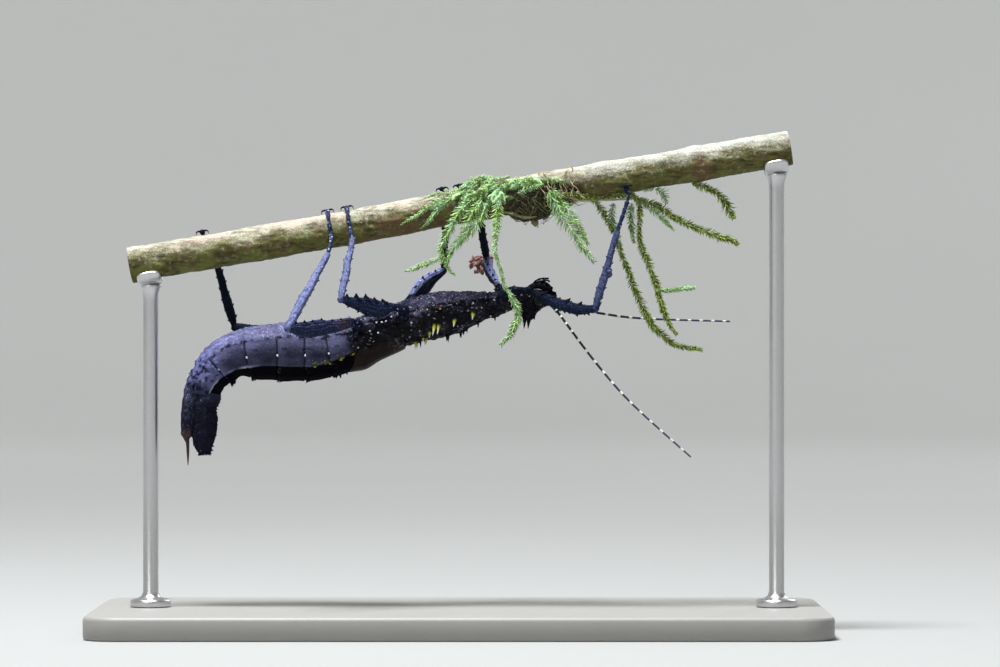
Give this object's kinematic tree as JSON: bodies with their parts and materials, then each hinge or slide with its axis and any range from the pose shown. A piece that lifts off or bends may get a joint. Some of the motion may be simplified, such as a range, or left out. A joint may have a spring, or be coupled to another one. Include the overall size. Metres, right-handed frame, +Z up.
{
  "type": "stick insect",
  "caption": "Life-size spiny stick insect with short leathery wings, hanging upside down under a mossy twig on a plain display stand.",
  "frame": {"origin": "middle of the underside of the stand's base", "axes": "+X towards the insect's head, along the base's long side; +Y away from the insect's left side; +Z up"},
  "size_m": [0.124, 0.06, 0.0848],
  "materials": {
    "board": "satin, painted off-white",
    "steel": "brushed",
    "bark": "rough bark with lichen",
    "moss": "leafy",
    "shell": "hard insect skin, glossy black to dusty blue-grey",
    "limb": "hard insect skin, blue-violet grey",
    "wing": "leathery, brown-black",
    "eye": "glossy",
    "feeler": "hard insect skin, black with pale rings"
  },
  "bodies": {
    "root": {"stand_base": "board", "stand_rod_left": "steel", "stand_rod_right": "steel", "twig": "bark", "moss": "moss", "head": "shell", "mouthparts": "shell", "prothorax": "shell", "mesothorax": "shell", "metathorax": "shell", "abdomen_1": "shell", "abdomen_2": "shell", "abdomen_3": "shell", "abdomen_4": "shell", "abdomen_5": "shell", "abdomen_6": "shell", "tail": "shell", "egg_scoop": "shell", "wing_left": "wing", "wing_right": "wing", "eye_left": "eye", "eye_right": "eye", "antenna_left": "feeler", "antenna_right": "feeler", "front_left_tarsus": "feeler", "front_right_tarsus": "feeler", "mid_left_tarsus": "feeler", "mid_right_tarsus": "feeler", "hind_left_tarsus": "feeler", "hind_right_tarsus": "feeler", "front_left_coxa": "limb", "front_left_femur": "limb", "front_left_tibia": "limb", "front_right_coxa": "limb", "front_right_femur": "limb", "front_right_tibia": "limb", "mid_left_coxa": "limb", "mid_left_femur": "limb", "mid_left_tibia": "limb", "mid_right_coxa": "limb", "mid_right_femur": "limb", "mid_right_tibia": "limb", "hind_left_coxa": "limb", "hind_left_femur": "limb", "hind_left_tibia": "limb", "hind_right_coxa": "limb", "hind_right_femur": "limb", "hind_right_tibia": "limb"}
  },
  "joints": []
}
